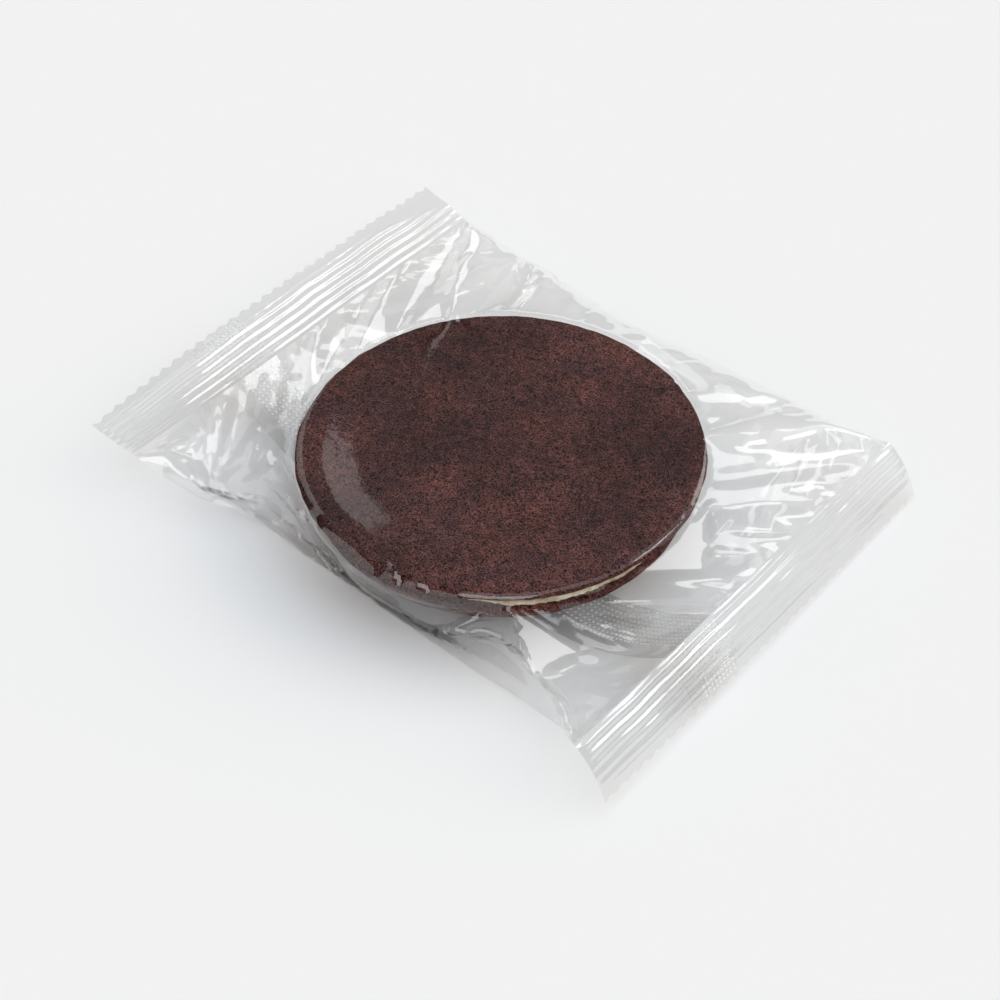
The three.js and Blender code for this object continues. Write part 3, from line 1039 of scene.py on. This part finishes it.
fin_seal = piece_from("fin_seal", strip.reshape(-1, 3),
                      strip_faces(len(strip) - 1, FIN_COLUMNS, True))
keep_on_points(fin_seal, {
    "along": np.repeat(along[:, None], FIN_COLUMNS + 1, axis=1) * MM,
    "out": np.repeat(out[None], len(strip), axis=0) * MM,
    "upward": -downward,
    "knurled": knurled,
})
knurled_film = film_material("knurled_film", clear=0.985, thrown_back=0.24, milk=milky_pips)
pressed(fin_seal, knurling_wheel(), {"Pitch": KNURL_PITCH, "Height": KNURL_HEIGHT}, knurled_film,
        FIN_WALL, spent=["upward"])
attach(fin_seal, "root")
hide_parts("sealed_pack")


# ---- Table, lights and camera -------------------------------------------------------------------
# A wide floor of pale paper under two soft lamps and warm air, and the camera. White panels stand
# round the pack, to be seen only as reflections in its film.

REACH = 30000
corners = [(-REACH, -REACH, 0), (REACH, -REACH, 0), (REACH, REACH, 0), (-REACH, REACH, 0)]
floor = piece_from("floor", corners, [(0, 1, 2, 3)], smooth=False)
paper, tree, surface = new_material("pale_floor")
surface["Base Color"].default_value = (0.87, 0.87, 0.87, 1)
surface["Roughness"].default_value = 1.0
surface["Specular IOR Level"].default_value = 0.0
floor.data.materials.append(paper)

MIDDLE = Vector((0.0081, -0.01027, 0.008))
CAMERA_DISTANCE = 0.3542
AZIMUTH, ELEVATION = math.radians(40.5), math.radians(46.5)
back = Vector((math.sin(AZIMUTH) * math.cos(ELEVATION), -math.cos(AZIMUTH) * math.cos(ELEVATION),
               math.sin(ELEVATION)))
camera_data = bpy.data.cameras.new("camera")
camera_data.lens = 70
camera_data.sensor_width = 36
camera_data.clip_start = 0.005
camera = bpy.data.objects.new("camera", camera_data)
bpy.context.collection.objects.link(camera)
camera.location = MIDDLE + back * CAMERA_DISTANCE
camera.rotation_euler = (-back).to_track_quat("-Z", "Y").to_euler()
bpy.context.scene.camera = camera


def towards(azimuth, elevation, distance):
    """A place seen from the pack: azimuth 0 is along +Y, and turns towards +X."""
    a, e = math.radians(azimuth), math.radians(elevation)
    return Vector((math.sin(a) * math.cos(e), math.cos(a) * math.cos(e), math.sin(e))) * distance


def hung(name, data, azimuth, elevation, distance):
    """Puts a lamp in the room, facing the pack."""
    lamp = bpy.data.objects.new(name, data)
    lamp.location = MIDDLE + towards(azimuth, elevation, distance)
    lamp.rotation_euler = towards(azimuth, elevation, 1).to_track_quat("Z", "Y").to_euler()
    bpy.context.collection.objects.link(lamp)
    return lamp


def panel(name, azimuth, elevation, width, height, brightness, distance=1.2):
    """A flat white panel that is seen only as a reflection in the film."""
    data = bpy.data.lights.new(name, "AREA")
    data.shape = "RECTANGLE"
    data.size, data.size_y = width, height
    data.energy = brightness * math.pi * width * height
    lamp = hung(name, data, azimuth, elevation, distance)
    lamp.visible_diffuse = False
    lamp.visible_camera = False


def soft_lamp(name, azimuth, elevation, spread, colour, strength):
    """A lamp far away, seen from the pack as a disc that many degrees wide."""
    data = bpy.data.lights.new(name, "SUN")
    data.energy = strength
    data.color = colour
    data.angle = math.radians(spread)
    hung(name, data, azimuth, elevation, 1).visible_glossy = False


soft_lamp("overhead_lamp", 75, 66, 100, (0.65, 0.84, 1.0), 2.6)
soft_lamp("low_lamp", 40, 28, 50, (1.0, 0.77, 0.46), 0.89)
# Azimuth, elevation, width, height and brightness.
panel("right_panel", 38, 49, 0.34, 0.28, 4.0)
panel("far_panel", 2, 37, 0.38, 0.32, 2.6)
panel("right_glow", 25, 45, 1.1, 0.9, 0.6, distance=1.25)
panel("back_panel", -54, 11, 0.30, 0.20, 2.0)
panel("low_panel", 51, 18, 0.16, 0.16, 2.5)
panel("left_panel", -72, 38, 0.6, 0.5, 0.9)
panel("overhead_glow", 110, 74, 1.0, 1.0, 0.7)
panel("near_glow", 168, 46, 1.5, 0.8, 2.6)
panel("ceiling", -36, 47, 0.9, 0.7, 0.14, distance=1.3)

world = bpy.data.worlds.new("studio")
bpy.context.scene.world = world
world.use_nodes = True
room = world.node_tree
warm_air = room.nodes["Background"]
warm_air.inputs["Color"].default_value = (1.0, 0.72, 0.51, 1)
warm_air.inputs["Strength"].default_value = 0.398
backdrop = room.nodes.new("ShaderNodeBackground")
backdrop.inputs["Color"].default_value = (0.89, 0.89, 0.89, 1)
seen = room.nodes.new("ShaderNodeLightPath").outputs["Is Camera Ray"]
seen_or_felt = room.nodes.new("ShaderNodeMixShader")
for output, socket in zip((seen, warm_air.outputs[0], backdrop.outputs[0]), seen_or_felt.inputs):
    joined(room, output, socket)
joined(room, seen_or_felt.outputs[0], room.nodes["World Output"].inputs["Surface"])
world.cycles_visibility.glossy = False
bpy.context.scene.view_settings.view_transform = "Standard"
